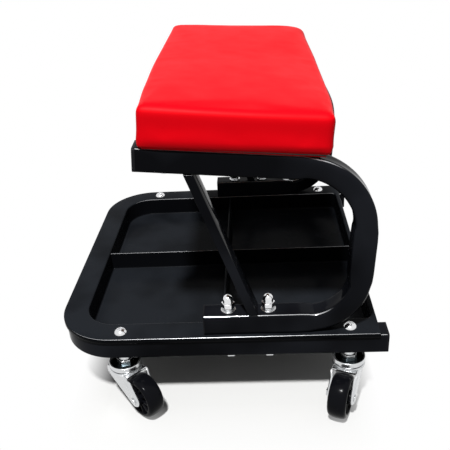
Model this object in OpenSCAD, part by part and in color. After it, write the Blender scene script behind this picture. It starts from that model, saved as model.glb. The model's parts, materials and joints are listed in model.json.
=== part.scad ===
// Rolling stool for low work: a padded seat on two C-shaped side frames, a
// U-shaped base frame that carries a four-compartment tool tray, and four
// swivel casters. The origin is on the floor below the middle of the base.
// The front is towards -X, the left side towards -Y.

/* [Tube] */
// Side of the square steel tube
tube = 25.4; // [24:0.1:28]
// Wall of the square tube
tube_wall = 1.5; // [1:0.1:2.2]
// Outer radius of the tube's long corners
tube_corner = 3; // [2.4:0.1:4]

/* [Base frame] */
// Length from the tray's front edge to the rear plugs
base_l = 382; // [370:1:430]
// Width over the outer faces of the two rails
base_w = 390; // [370:1:420]
// Centreline radius of the two front bends
base_bend_r = 53.3; // [46:0.1:62]
// Thickness of the lip on each rail plug
rail_lip = 2.5; // [1.5:0.1:4]

/* [Tool tray] */
// Thickness of the rim
rim_t = 3.6; // [2.5:0.1:5]
// Overhang of the rim past the outer faces of the rails
rim_over = 2.2; // [1.8:0.1:4]
// Thickness of the rim's down-turned lip
lip_t = 1.9; // [1:0.1:2.2]
// Height of the rim's edge, lip included
lip_drop = 6; // [5:0.5:12]
// Length of bare rail behind the tray
tray_short = 9.7; // [6:0.1:18]
// Width of the rim along the tray's rear edge
rear_rim = 6; // [5:0.1:12]
// Depth of the compartments below the rim
recess = 26; // [18:0.5:26]
// Thickness of the compartment walls
tray_wall = 2.4; // [1.8:0.1:3]
// Thickness of the tray floor
tray_floor = 2.4; // [1.8:0.1:2.8]
// Thickness of the two dividers
divider_t = 3.2; // [2:0.1:5]
// Drop of the dividers' top edges below the rim
divider_drop = 2; // [1:0.5:8]
// Place of the cross divider behind the middle of the base
cross_x = 5; // [-30:1:30]

/* [Side frames] */
// Inset of each side frame from the rail's outer face
frame_inset = 2; // [0:0.1:4]
// Place of the feet's front ends, in front of the middle of the base
foot_front = 15.4; // [10:0.1:30]
// Straight length of each foot
foot_l = 117.7; // [112:0.1:124]
// Centreline radius of the lower bend
low_bend_r = 54.7; // [48:0.1:62]
// Straight length of the upright between the bends
upright_l = 58.9; // [40:0.1:80]
// Lean of the uprights, their tops to the rear
upright_lean = 2.8; // [0:0.1:6]
// Centreline radius of the upper bend
top_bend_r = 71.8; // [62:0.1:78]
// Slope of the top tubes and the seat, down to the rear
seat_tilt = 5.4; // [3:0.1:8]
// Straight length of each top tube
top_l = 162.5; // [150:0.5:180]
// Thickness of the lip on each top plug
top_lip = 3.5; // [2:0.1:5]
// Thickness of the lip on each foot plug
foot_lip = 1.5; // [1:0.1:3]
// Length of a plug's body inside the tube
plug_l = 12; // [8:0.5:14]

/* [Struts] */
// Depth of a strut across the stool
strut_w = 25; // [18:0.5:25]
// Thickness of a strut in the plane of the side frame
strut_t = 10; // [8:0.5:12]
// Wall of the strut tube
strut_wall = 1.2; // [1:0.1:2]
// Distance of the strut's lower end behind the foot's front end
strut_foot = 56.3; // [54:0.1:58]
// Distance of the strut's upper end behind the top tube's front end
strut_top = 51.5; // [45:0.5:62]

/* [Seat] */
// Size of the seat from front to rear
seat_l = 188; // [175:1:200]
// Overhang of the seat past the outer faces of the rails
seat_over = 3; // [1:0.5:16]
// Thickness of the seat at its edges
seat_t = 42; // [36:0.5:60]
// Extra height of the cushion in its middle
seat_crown = 6; // [2:0.5:14]
// Distance of the seat's front edge behind the top tubes' front ends
seat_setback = 1; // [0:0.5:10]
// Radius of the cushion's upper edge
edge_r = 10; // [4:0.5:11]
// Corner radius of the cushion, seen from above
seat_corner = 14; // [12:0.5:24]
// Distance that the cushion's sides are drawn in at their upper and lower edges
side_draw = 2; // [1:0.5:3]
// Thickness of the seat board
board_t = 12; // [9:0.5:16]
// Foam and cover outside the board's edge
board_inset = 5.5; // [5:0.5:8]
// Thickness of the cover's turned-under hem
hem_t = 1; // [0.8:0.1:1.6]
// Width of the hem under the board
hem_w = 26; // [20:1:32]
// Spacing of the staples along the hem
staple_pitch = 34; // [24:1:60]

/* [Casters] */
// Height of the rails above the floor
caster_h = 73; // [72:0.5:84]
// Distance of the front casters behind the tray's front edge
front_caster_in = 78.5; // [72:0.5:92]
// Distance of the rear casters in front of the rail ends
rear_caster_in = 42; // [36:0.5:60]
// Radius of the wheels
wheel_r = 26; // [22:0.5:26.5]
// Width of the wheels' tread
wheel_w = 21.5; // [18:0.5:22.5]
// Distance of each axle behind its swivel axis
trail = 30.5; // [30:0.5:36]
// Swing of the front casters at rest, outwards from straight behind
front_swing = 44; // [0:1:90]
// Swing of the rear casters at rest, outwards from straight behind
rear_swing = 112; // [90:1:150]
// Radius of the dish and of the fork's race ring
dish_r = 19; // [18:0.1:20]
// Outer width of the fork
fork_w = 31; // [30:0.5:34]
// Thickness of the fork's sheet
fork_sheet = 2; // [1.5:0.1:2]
// Radius of the fork legs' lower ends
leg_tip_r = 8; // [6:0.5:10]

/* [Fasteners] */
// Shank diameter of the frame bolts and caster screws
bolt_d = 8; // [7:0.1:8.4]
// Distance of the first frame bolt behind the foot's front end
first_bolt = 28.6; // [27:0.1:32]
// Spacing of the two bolts in each foot
bolt_spacing = 44.7; // [42:0.1:48]
// Width across flats of the bolt heads and nuts
hex_af = 13; // [12:0.1:14]
// Diameter of the flat washers
washer_d = 16.8; // [15:0.1:17]
// Head diameter of the caster screws
screw_head_d = 15.5; // [14:0.1:17]
// Shank diameter of the axle bolts
axle_d = 5; // [4.5:0.1:6]
// Shank diameter of the seat screws
seat_screw_d = 4.8; // [4:0.1:6]

/* [Hidden] */
$fn = 64;

// One overrun for every cut
cut = 2;
// Distance that bending draws a tube's sides in
bend_draw = 0.05;
// Lap of each straight stretch of tube over the bends beside it
bend_lap = 1;
// Radial clearance of a bolt or screw in its clearance hole
hole_gap = 0.3;
// Radial clearance of a pin that turns in its bore
run_gap = 0.08;
// Clearance between a piece and the pocket that holds it
pocket_gap = 0.3;
// Radial clearance of a thread in its hole
thread_gap = 0.05;

// Colours
steel_black = [0.05, 0.05, 0.06];
plastic_black = [0.09, 0.09, 0.10];
zinc = [0.72, 0.73, 0.74];
chrome = [0.85, 0.86, 0.88];
vinyl_red = [0.82, 0.03, 0.10];
plywood = [0.72, 0.56, 0.36];
tread_black = [0.04, 0.04, 0.045];

// Levels and places of the base
rail_top = caster_h + tube;
rim_top = rail_top + rim_t;
front_edge = -base_l / 2;
rail_front = front_edge + rim_over;
rail_end = base_l / 2 - rail_lip;
rail_y = (base_w - tube) / 2;
rail_corner_r = base_bend_r + tube / 2;
bend_x = rail_front + rail_corner_r;
bend_y = base_w / 2 - rail_corner_r;
side_y = base_w / 2 - frame_inset - tube / 2;

// Places of the tray, whose compartment walls clear the rails
tray_rear = base_l / 2 - tray_short;
tub_gap = 0.8;
tub_inset = tube + tub_gap;
tub_rear = tray_rear - rear_rim + tray_wall;
floor_z = rim_top - recess;

// Centreline of the side frames, in their own plane
foot_z = rim_top + tube / 2;
foot_bend_x = -foot_front + foot_l;
low_centre = [foot_bend_x, foot_z + low_bend_r];
upright_way = [sin(upright_lean), cos(upright_lean)];
upright_square = [cos(upright_lean), -sin(upright_lean)];
upright_start = low_centre + low_bend_r * upright_square;
top_centre = upright_start + upright_l * upright_way - top_bend_r * upright_square;
top_start = top_centre + top_bend_r * [sin(seat_tilt), cos(seat_tilt)];
top_end = top_start + top_l * [-cos(seat_tilt), sin(seat_tilt)];
top_corner = top_end + tube / 2 * [sin(seat_tilt), cos(seat_tilt)];
foot_top = foot_z + tube / 2;

// Seat, seat board and hem
seat_w = base_w + 2 * seat_over;
board_half = [seat_l / 2 - board_inset, seat_w / 2 - board_inset];
board_top = hem_t + board_t;
staple_wire = 0.6;
staple_w = 9;
staple_leg = 5;
staple_band = 1.2;
staple_edge = 3.4;

// Seat screws go up through the top tubes, in front of and behind the strut.
// The rear ones stay on the straight tube and under the seat board.
front_screw_in = 25.5;
rear_screw_in = 41;
bend_screw_in = 14.5;
seat_screw_at = [
    seat_setback + front_screw_in,
    min(seat_setback + seat_l - rear_screw_in, top_l - bend_screw_in)
];
seat_screw_head_d = 10;
seat_screw_head_h = 3;
seat_screw_bite = 10;

// Frame bolts, washers and nuts
washer_t = 1.6;
spring_t = 2.1;
spring_d = 13.2;
bolt_head_h = 5.3;
acorn_hex_h = 7;
acorn_h = 16.5;
acorn_dome_r = 5.8;
dome_bite = 2.5;
bolt_grip = acorn_hex_h + dome_bite;
bolt_x = [for (i = [0, 1]) -foot_front + first_bolt + i * bolt_spacing];

// Caster screws, with a cross recess in a low domed head
screw_head_h = 5;
screw_bite = 12;
recess_slot = 1.7;
recess_span_share = 0.5;
recess_depth = 2.2;

// Caster stack: the stem fills the height between the dish and the rail
dish_over_wheel = 6;
dish_top = 2 * wheel_r + dish_over_wheel;
stem_hex_share = 8 / 15;
stem_hex_h = (caster_h - dish_top) * stem_hex_share;
collar_h = caster_h - dish_top - stem_hex_h;
collar_d = 13.5;
stem_hex_af = 17;
journal_d = 10;
dish_sheet = 2.4;
dish_lip_h = 5;
dish_lip_t = 1.6;
ball_r = 2.5;
ball_pitch_r = 14.2;
ball_count = 14;
race_gap = 0.3;
seat_race_gap = 0.1;
plate_gap = 2.6;
crown_t = 2.4;
ring_t = 1.9;
ring_h = 1.8;
rivet_d = 15;
rivet_h = 3;
rivet_gap = 0.2;
dish_under = dish_top - dish_sheet;
crown_top = dish_under - plate_gap;
crown_under = crown_top - crown_t;
rivet_top = crown_under - rivet_gap;
ball_z = dish_under - plate_gap / 2;
crown_back = 17.5;
crown_front = 20;

// Wheel, bush and axle
shoulder_r = 3.2;
hub_r = 8;
hub_gap = 0.35;
hub_recess = 5.5;
hub_rim = 6.2;
rib_t = 1.7;
rib_count = 10;
rib_drop = 1.2;
bush_wall = 1.4;
bush_slack = 0.05;
axle_head_h = 2.4;
axle_nut_h = 3.2;
axle_af = 8;
axle_end = 0.6;
fork_gap = fork_w - 2 * fork_sheet;
bush_r = axle_d / 2 + bush_slack + bush_wall;

// Swivel axes and rest directions: front left, rear left, front right, rear right
caster_x = [front_edge + front_caster_in, base_l / 2 - rear_caster_in];
caster_at = [for (s = [-1, 1]) for (x = caster_x) [x, s * rail_y]];
swing = [-front_swing, -rear_swing, front_swing, rear_swing];

// Section of a square tube with rounded long corners
module tube_section(side, r) {
    square([side, side - 2 * r], center = true);
    square([side - 2 * r, side], center = true);
    for (x = [-1, 1], y = [-1, 1])
        translate([x, y] * (side / 2 - r)) circle(r);
}

// Straight stretch of tube from the origin along +X
module tube_run(len, side, r) {
    rotate([90, 0, 90]) linear_extrude(len) tube_section(side, r);
}

// Bend of tube about +Z, from +X turning towards +Y
module tube_bend(bend_r, angle, side, r) {
    rotate_extrude(angle = angle) translate([bend_r, 0]) tube_section(side, r);
}

// A bend whose section is drawn in a little all round, as bending leaves it
module drawn_bend(bend_r, angle, side, r) {
    tube_bend(bend_r, angle, side - 2 * bend_draw, r - bend_draw);
}

// A side frame's tube in its own plane, with its open ends run out by extra.
// Each straight stretch laps the bends beside it.
module side_path(side, r, extra) {
    translate([-foot_front + foot_lip - extra, foot_z, 0])
        tube_run(foot_l - foot_lip + extra + bend_lap, side, r);
    translate([low_centre[0], low_centre[1], 0])
        rotate([0, 0, -90]) drawn_bend(low_bend_r, 90 - upright_lean, side, r);
    translate([upright_start[0], upright_start[1], 0])
        rotate([0, 0, 90 - upright_lean]) translate([-bend_lap, 0, 0])
            tube_run(upright_l + 2 * bend_lap, side, r);
    translate([top_centre[0], top_centre[1], 0]) rotate([0, 0, -upright_lean])
        drawn_bend(top_bend_r, 90 - seat_tilt + upright_lean, side, r);
    translate([top_start[0], top_start[1], 0])
        rotate([0, 0, 180 - seat_tilt]) translate([-bend_lap, 0, 0])
            tube_run(top_l + extra + bend_lap, side, r);
}

// The base frame's tube seen from above, with its rear ends run out by extra
module base_path(side, r, extra) {
    for (s = [-1, 1]) {
        translate([bend_x - bend_lap, s * rail_y, 0])
            tube_run(rail_end - bend_x + bend_lap + extra, side, r);
        translate([bend_x, s * bend_y, 0])
            rotate([0, 0, 135 - s * 45]) drawn_bend(base_bend_r, 90, side, r);
    }
    translate([rail_front + tube / 2, -bend_y - bend_lap, 0])
        rotate([0, 0, 90]) tube_run(2 * (bend_y + bend_lap), side, r);
}

// Puts a shape at the front end of a top tube: +X along the tube to the rear,
// +Z square to its upper face, and Z = 0 on that face
module on_top_tube(y) {
    translate([top_corner[0], y, top_corner[1]]) rotate([0, seat_tilt, 0]) children();
}

// Puts a shape in the seat's frame, which is the top tubes' frame at mid-width
module in_seat() {
    on_top_tube(0) translate([seat_setback + seat_l / 2, 0, 0]) children();
}

// Shafts along the frame bolts of one side, from level z over a height h
module at_bolts(s, z) {
    for (x = bolt_x) translate([x, s * side_y, z]) children();
}

// A shape repeated at all four frame bolts
module at_all_bolts(z) {
    for (s = [-1, 1]) at_bolts(s, z) children();
}

// A shape placed at one caster: +X is the way it trails, Z = 0 is the floor
module at_caster(i) {
    translate([caster_at[i][0], caster_at[i][1], 0]) rotate([0, 0, swing[i]]) children();
}

// Hexagonal prism across flats af
module hex_prism(af, h) {
    cylinder(h = h, d = af / cos(30), $fn = 6);
}

// Flat ring
module ring(outer_d, inner_d, h) {
    difference() {
        cylinder(h = h, d = outer_d);
        translate([0, 0, -cut]) cylinder(h = h + 2 * cut, d = inner_d);
    }
}

// Point where the line from p touches the circle at c, on the given side
function touch(p, c, r, side) =
    let (d = norm(c - p), a = atan2(c[1] - p[1], c[0] - p[0]) + side * asin(r / d))
    p + sqrt(d * d - r * r) * [cos(a), sin(a)];

// Plan of the base with rounded front corners, drawn in by inset
module base_plan(inset, rear) {
    r = rail_corner_r - inset;
    half = base_w / 2 - inset;
    translate([bend_x, -half]) square([rear - bend_x, 2 * half]);
    translate([bend_x - r, -bend_y]) square([r + cut, 2 * bend_y]);
    for (s = [-1, 1]) translate([bend_x, s * bend_y]) circle(r);
}

// Side frame in its own plane, hollow, drilled for its bolts and seat screws
module side_frame(s) {
    difference() {
        translate([0, s * side_y, 0]) rotate([90, 0, 0]) difference() {
            side_path(tube, tube_corner, 0);
            side_path(tube - 2 * tube_wall, tube_corner - tube_wall, cut);
        }
        at_bolts(s, rim_top - cut) cylinder(h = tube + 2 * cut, d = bolt_d + 2 * hole_gap);
        for (u = seat_screw_at)
            on_top_tube(s * side_y) translate([u, 0, -tube - cut])
                cylinder(h = tube + 2 * cut, d = seat_screw_d + 2 * hole_gap);
    }
}

// Strut profile in the side frame's plane, cut to the foot and to the top tube
module strut_plan(thick) {
    foot = [-foot_front + strut_foot, foot_top];
    head = top_corner + strut_top * [cos(seat_tilt), -sin(seat_tilt)]
        - tube * [sin(seat_tilt), cos(seat_tilt)];
    lean = atan2(foot[0] - head[0], head[1] - foot[1]);
    at_foot = thick / 2 / cos(lean);
    at_head = thick / 2 / cos(lean - seat_tilt);
    along = at_head * [cos(seat_tilt), -sin(seat_tilt)];
    polygon([foot - [at_foot, 0], foot + [at_foot, 0], head + along, head - along]);
}

// Rectangular strut tube, welded to the foot and to the top tube
module strut(s) {
    translate([0, s * side_y + strut_w / 2, 0]) rotate([90, 0, 0]) difference() {
        linear_extrude(strut_w) strut_plan(strut_t);
        translate([0, 0, strut_wall])
            linear_extrude(strut_w - 2 * strut_wall) strut_plan(strut_t - 2 * strut_wall);
    }
}

// Plug with its lip's outer face at the origin and its body along +X
module plug(lip) {
    body = tube - 2 * tube_wall - 2 * pocket_gap;
    body_r = tube_corner - tube_wall;
    tube_run(lip, tube, tube_corner);
    difference() {
        translate([lip, 0, 0]) tube_run(plug_l, body, body_r);
        translate([lip + tube_wall, 0, 0])
            tube_run(plug_l, body - 2 * tube_wall, body_r / 2);
    }
}

// Plug in the front end of a top tube
module top_plug(s) {
    on_top_tube(s * side_y) translate([-top_lip, 0, -tube / 2]) plug(top_lip);
}

// Plug in the front end of a foot
module foot_plug(s) {
    translate([-foot_front, s * side_y, foot_z]) plug(foot_lip);
}

// Plug in the rear end of a rail
module rail_plug(s) {
    translate([base_l / 2, s * rail_y, caster_h + tube / 2])
        rotate([0, 0, 180]) plug(rail_lip);
}

// Shafts of the caster screws through the rim and the rails
module caster_screw_holes(z, h) {
    for (p = caster_at)
        translate([p[0], p[1], z]) cylinder(h = h, d = bolt_d + 2 * hole_gap);
}

// Tray: rim with a down-turned lip, and a tub with two dividers
module tray_shape() {
    tub_z = floor_z - tray_floor;
    inner = tub_inset + tray_wall;
    tub_front = bend_x - rail_corner_r + inner;
    half = base_w / 2 - inner;
    inner_rear = tub_rear - tray_wall;
    wall_h = rim_top - divider_drop - floor_z;
    difference() {
        union() {
            translate([0, 0, rail_top]) linear_extrude(rim_t) base_plan(-rim_over, tray_rear);
            translate([0, 0, tub_z])
                linear_extrude(rail_top - tub_z) base_plan(tub_inset, tub_rear);
            translate([0, 0, rim_top - lip_drop]) linear_extrude(lip_drop - rim_t) difference() {
                base_plan(-rim_over, tray_rear);
                base_plan(lip_t - rim_over, tray_rear + cut);
            }
        }
        translate([0, 0, floor_z]) linear_extrude(recess + cut) base_plan(inner, inner_rear);
        caster_screw_holes(rail_top - cut, rim_t + 2 * cut);
        at_all_bolts(rail_top - cut)
            cylinder(h = rim_t + 2 * cut, d = bolt_d + 2 * hole_gap);
    }
    translate([tub_front - tray_wall / 2, -divider_t / 2, floor_z - tray_floor / 2])
        cube([inner_rear - tub_front + tray_wall, divider_t, wall_h + tray_floor / 2]);
    translate([cross_x - divider_t / 2, -half - tray_wall / 2, floor_z - tray_floor / 2])
        cube([divider_t, 2 * half + tray_wall, wall_h + tray_floor / 2]);
}

// Acorn nut with a blind thread
module acorn_nut() {
    difference() {
        union() {
            hex_prism(hex_af, acorn_hex_h);
            cylinder(h = acorn_h - acorn_dome_r, r = acorn_dome_r);
            translate([0, 0, acorn_h - acorn_dome_r]) sphere(acorn_dome_r);
        }
        translate([0, 0, -cut])
            cylinder(h = bolt_grip + washer_t + cut, d = bolt_d + 2 * thread_gap);
    }
}

// Frame bolt with its head under the rail, from the rail's lower face up
module frame_bolt() {
    length = washer_t + 2 * tube + rim_t + washer_t + spring_t + bolt_grip;
    translate([0, 0, -washer_t]) cylinder(h = length, d = bolt_d);
    translate([0, 0, -washer_t - bolt_head_h]) hex_prism(hex_af, bolt_head_h);
}

// Caster screw, from the rim's upper face: low domed head with a cross recess
module caster_screw() {
    head_r = screw_head_d / 2;
    dome_r = (head_r * head_r + screw_head_h * screw_head_h) / (2 * screw_head_h);
    shank = rim_t + tube + screw_bite;
    difference() {
        intersection() {
            cylinder(h = screw_head_h, r = head_r);
            translate([0, 0, screw_head_h - dome_r]) sphere(dome_r);
        }
        for (a = [0, 90]) rotate([0, 0, a])
            translate([-screw_head_d * recess_span_share / 2, -recess_slot / 2,
                       screw_head_h - recess_depth])
                cube([screw_head_d * recess_span_share, recess_slot, recess_depth + cut]);
    }
    translate([0, 0, -shank]) cylinder(h = shank, d = bolt_d);
}

// Stem: collar and hexagon under the rail, journal with a riveted lower end
module stem_shape() {
    difference() {
        union() {
            translate([0, 0, caster_h - collar_h]) cylinder(h = collar_h, d = collar_d);
            translate([0, 0, dish_top]) hex_prism(stem_hex_af, stem_hex_h);
            translate([0, 0, rivet_top]) cylinder(h = dish_top - rivet_top, d = journal_d);
            translate([0, 0, rivet_top - rivet_h]) cylinder(h = rivet_h, d = rivet_d);
        }
        translate([0, 0, caster_h - screw_bite - cut])
            cylinder(h = screw_bite + 2 * cut, d = bolt_d + 2 * thread_gap);
    }
}

// Groove of the ball race about the swivel axis
module race(gap) {
    translate([0, 0, ball_z])
        rotate_extrude() translate([ball_pitch_r, 0]) circle(ball_r + gap);
}

// Dish that sits under the stem's hexagon, with its upturned lip
module dish_shape() {
    difference() {
        translate([0, 0, dish_under]) cylinder(h = dish_lip_h + dish_sheet, r = dish_r);
        translate([0, 0, dish_top]) cylinder(h = dish_lip_h + cut, r = dish_r - dish_lip_t);
        translate([0, 0, dish_under - cut])
            cylinder(h = dish_sheet + 2 * cut, d = journal_d + 2 * thread_gap);
        race(race_gap);
    }
}

// Ring of balls between the dish and the fork
module ball_ring() {
    for (i = [0 : ball_count - 1]) rotate([0, 0, i * 360 / ball_count])
        translate([ball_pitch_r, 0, ball_z]) sphere(ball_r, $fn = 24);
}

// One leg of the fork, seen from its side, with its axle end rounded
module fork_leg_plan() {
    axle = [trail, wheel_r];
    rear = [-crown_back, crown_under - 3 * crown_t];
    front = [crown_front, crown_top];
    polygon([
        [-crown_back, crown_top], rear, touch(rear, axle, leg_tip_r, -1), axle,
        touch(front, axle, leg_tip_r, 1), front
    ]);
    translate(axle) circle(leg_tip_r);
}

// Fork: crown with the lower race and its ring, and two legs
module fork_shape() {
    difference() {
        union() {
            translate([0, 0, crown_under]) cylinder(h = crown_t, r = dish_r);
            translate([-crown_back, -fork_w / 2, crown_under])
                cube([crown_back + crown_front, fork_w, crown_t]);
            translate([0, 0, crown_top]) ring(2 * dish_r, 2 * (dish_r - ring_t), ring_h);
            for (s = [-1, 1]) translate([0, s * (fork_w - fork_sheet) / 2 + fork_sheet / 2, 0])
                rotate([90, 0, 0]) linear_extrude(fork_sheet) fork_leg_plan();
        }
        race(seat_race_gap);
        translate([0, 0, crown_under - cut])
            cylinder(h = crown_t + 2 * cut, d = journal_d + 2 * run_gap);
        translate([trail, fork_w / 2 + cut, wheel_r])
            rotate([90, 0, 0]) cylinder(h = fork_w + 2 * cut, d = axle_d + 2 * bush_slack);
    }
}

// A shape about the axle, whose axis becomes the local Z, mid-way between the legs
module on_axle() {
    translate([trail, 0, wheel_r]) rotate([90, 0, 0]) children();
}

// Bush clamped between the fork's legs
module bush_shape() {
    on_axle() translate([0, 0, -fork_gap / 2])
        ring(2 * bush_r, axle_d + 2 * bush_slack, fork_gap);
}

// Axle bolt, its head outside one leg and its thread outside the other
module axle_shape() {
    length = fork_w + axle_nut_h + axle_end;
    on_axle() {
        translate([0, 0, -fork_w / 2]) cylinder(h = length, d = axle_d);
        translate([0, 0, -fork_w / 2 - axle_head_h]) hex_prism(axle_af, axle_head_h);
    }
}

// Nut on the axle bolt
module axle_nut_shape() {
    on_axle() translate([0, 0, fork_w / 2]) difference() {
        hex_prism(axle_af, axle_nut_h);
        translate([0, 0, -cut])
            cylinder(h = axle_nut_h + 2 * cut, d = axle_d + 2 * thread_gap);
    }
}

// Wheel: round-shouldered tread, ribbed recess in each face, and a long hub
module wheel_shape() {
    half_w = wheel_w / 2;
    hub_half = fork_gap / 2 - hub_gap;
    recess_r = wheel_r - hub_rim;
    web = half_w - hub_recess;
    on_axle() {
        difference() {
            union() {
                rotate_extrude() {
                    square([wheel_r - shoulder_r, half_w]);
                    translate([0, -half_w]) square([wheel_r - shoulder_r, half_w]);
                    translate([0, shoulder_r - half_w])
                        square([wheel_r, wheel_w - 2 * shoulder_r]);
                    for (s = [-1, 1]) translate([wheel_r - shoulder_r, s * (half_w - shoulder_r)])
                        circle(shoulder_r);
                }
                translate([0, 0, -hub_half]) cylinder(h = 2 * hub_half, r = hub_r);
            }
            for (s = [-1, 1]) translate([0, 0, s * (web + hub_recess / 2 + cut / 2)])
                difference() {
                    cylinder(h = hub_recess + cut, r = recess_r, center = true);
                    cylinder(h = hub_recess + 2 * cut, r = hub_r, center = true);
                }
            cylinder(h = fork_gap, r = bush_r + run_gap, center = true);
        }
        for (i = [0 : rib_count - 1]) rotate([0, 0, i * 360 / rib_count])
            for (s = [-1, 1])
                translate([hub_r - rib_t / 2, -rib_t / 2, s > 0 ? web - cut / 2 : rib_drop - half_w])
                    cube([recess_r - hub_r + rib_t, rib_t, hub_recess - rib_drop + cut / 2]);
    }
}

// Points per corner of the cushion's plan
corner_steps = 6;
side_steps = 5;
edge_steps = 4;
crown_steps = 6;

// Unit directions round the plan, each with its corner's signs
plan_turns = [for (q = [0 : 3]) for (k = [0 : corner_steps])
    [90 * (q + k / corner_steps), q]];
corner_signs = [[1, 1], [-1, 1], [-1, -1], [1, -1]];

// One ring of the cushion: plan drawn in by inset, shrunk by scale, at height z
function plan_ring(inset, scale, z) = [for (t = plan_turns)
    let (
        r = seat_corner - inset,
        c = [seat_l / 2 - seat_corner, seat_w / 2 - seat_corner],
        s = corner_signs[t[1]]
    )
    [(s[0] * c[0] + r * cos(t[0])) * scale, (s[1] * c[1] + r * sin(t[0])) * scale, z]];

// Height of the cushion's lower edge, just clear of the hem
skirt_z = hem_t + pocket_gap;
side_top = seat_t - edge_r;

// Rings up the drawn-in side, round the soft upper edge, and over the crown
side_rings = [for (k = [0 : side_steps])
    let (v = k / side_steps)
    plan_ring(side_draw * pow(2 * v - 1, 2), 1, skirt_z + v * (side_top - skirt_z))];
edge_rings = [for (k = [1 : edge_steps])
    let (a = 90 * k / edge_steps)
    plan_ring(side_draw + edge_r * (1 - cos(a)), 1, side_top + edge_r * sin(a))];
crown_rings = [for (k = [1 : crown_steps])
    let (v = k / (crown_steps + 1))
    plan_ring(side_draw + edge_r, 1 - v, seat_t + seat_crown * (1 - pow(1 - v, 2)))];
cushion_rings = concat(side_rings, edge_rings, crown_rings);

// Cushion with its crown and drawn-in sides, as one closed skin
module cushion_skin() {
    n = len(plan_turns);
    rings = len(cushion_rings);
    apex = n * rings;
    points = concat([for (one = cushion_rings) each one], [[0, 0, seat_t + seat_crown]]);
    sides = [for (k = [0 : rings - 2]) for (j = [0 : n - 1])
        let (a = k * n + j, b = k * n + (j + 1) % n)
        each [[a, a + n, b + n], [a, b + n, b]]];
    lid = [for (j = [0 : n - 1]) [(rings - 1) * n + (j + 1) % n, (rings - 1) * n + j, apex]];
    floor_face = [for (j = [1 : n - 2]) [0, j, j + 1]];
    polyhedron(points, concat(sides, lid, floor_face));
}

// Rectangle of the seat board, grown by grow
module board_plan(grow) {
    square(2 * (board_half + [grow, grow]), center = true);
}

// One staple about the origin: crown on the hem, legs up along +Z
module staple(gap) {
    half_w = staple_w / 2;
    translate([-half_w - gap, -staple_band / 2 - gap, -gap])
        cube([staple_w + 2 * gap, staple_band + 2 * gap, staple_wire + 2 * gap]);
    for (s = [-1, 1])
        translate([s * (half_w - staple_wire / 2) - staple_wire / 2 - gap,
                   -staple_band / 2 - gap, 0])
            cube([staple_wire + 2 * gap, staple_band + 2 * gap, staple_leg + gap]);
}

// Staples along the hem's four sides, clear of the top tubes
module at_staples() {
    long_count = floor((2 * (side_y - tube)) / staple_pitch);
    short_count = floor(2 * (board_half[0] - 2 * staple_w) / staple_pitch);
    for (s = [-1, 1]) {
        for (i = [0 : long_count - 1])
            translate([s * (board_half[0] - staple_edge), (i - (long_count - 1) / 2) * staple_pitch, 0])
                rotate([0, 0, 90]) children();
        for (i = [0 : short_count - 1])
            translate([(i - (short_count - 1) / 2) * staple_pitch, s * (board_half[1] - staple_edge), 0])
                children();
    }
}

// Bores for the seat screws in the board and hem
module seat_screw_bores(gap) {
    for (s = [-1, 1], u = seat_screw_at)
        translate([u - seat_setback - seat_l / 2, s * side_y, -cut])
            cylinder(h = seat_screw_bite + cut + gap, d = seat_screw_d + 2 * gap);
}

module seat_cushion() {
    color(vinyl_red) in_seat() difference() {
        cushion_skin();
        translate([0, 0, -cut])
            linear_extrude(board_top + cut + pocket_gap) board_plan(pocket_gap);
    }
}

module seat_board() {
    color(plywood) in_seat() difference() {
        translate([0, 0, hem_t]) linear_extrude(board_t) board_plan(0);
        seat_screw_bores(thread_gap);
        at_staples() staple(thread_gap);
    }
}

module cover_hem() {
    color(vinyl_red) in_seat() difference() {
        linear_extrude(hem_t) difference() {
            board_plan(0);
            board_plan(-hem_w);
        }
        seat_screw_bores(hole_gap);
        at_staples() staple(thread_gap);
    }
}

module hem_staples() {
    color(zinc) in_seat() at_staples() staple(0);
}

module seat_screws() {
    color(zinc) for (s = [-1, 1], u = seat_screw_at)
        on_top_tube(s * side_y) translate([u, 0, -tube]) {
            cylinder(h = tube + seat_screw_bite, d = seat_screw_d);
            translate([0, 0, -seat_screw_head_h])
                cylinder(h = seat_screw_head_h, d = seat_screw_head_d);
        }
}

module side_frame_left() { color(steel_black) side_frame(-1); }
module side_frame_right() { color(steel_black) side_frame(1); }
module strut_left() { color(steel_black) strut(-1); }
module strut_right() { color(steel_black) strut(1); }
module top_plug_left() { color(plastic_black) top_plug(-1); }
module top_plug_right() { color(plastic_black) top_plug(1); }
module foot_plug_left() { color(plastic_black) foot_plug(-1); }
module foot_plug_right() { color(plastic_black) foot_plug(1); }
module rail_plug_left() { color(plastic_black) rail_plug(-1); }
module rail_plug_right() { color(plastic_black) rail_plug(1); }

module base_frame() {
    color(steel_black) difference() {
        translate([0, 0, caster_h + tube / 2]) difference() {
            base_path(tube, tube_corner, 0);
            base_path(tube - 2 * tube_wall, tube_corner - tube_wall, cut);
        }
        caster_screw_holes(caster_h - cut, tube + 2 * cut);
        at_all_bolts(caster_h - cut)
            cylinder(h = tube + 2 * cut, d = bolt_d + 2 * hole_gap);
    }
}

module tool_tray() { color(plastic_black) tray_shape(); }

module frame_bolts() { color(zinc) at_all_bolts(caster_h) frame_bolt(); }

module lower_washers() {
    color(zinc) at_all_bolts(caster_h - washer_t)
        ring(washer_d, bolt_d + 2 * hole_gap, washer_t);
}

module upper_washers() {
    color(zinc) at_all_bolts(foot_top) ring(washer_d, bolt_d + 2 * hole_gap, washer_t);
}

module spring_washers() {
    color(zinc) at_all_bolts(foot_top + washer_t)
        ring(spring_d, bolt_d + 2 * hole_gap, spring_t);
}

module acorn_nuts() { color(chrome) at_all_bolts(foot_top + washer_t + spring_t) acorn_nut(); }

module caster_screws() {
    color(chrome) for (p = caster_at) translate([p[0], p[1], rim_top]) caster_screw();
}

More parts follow.
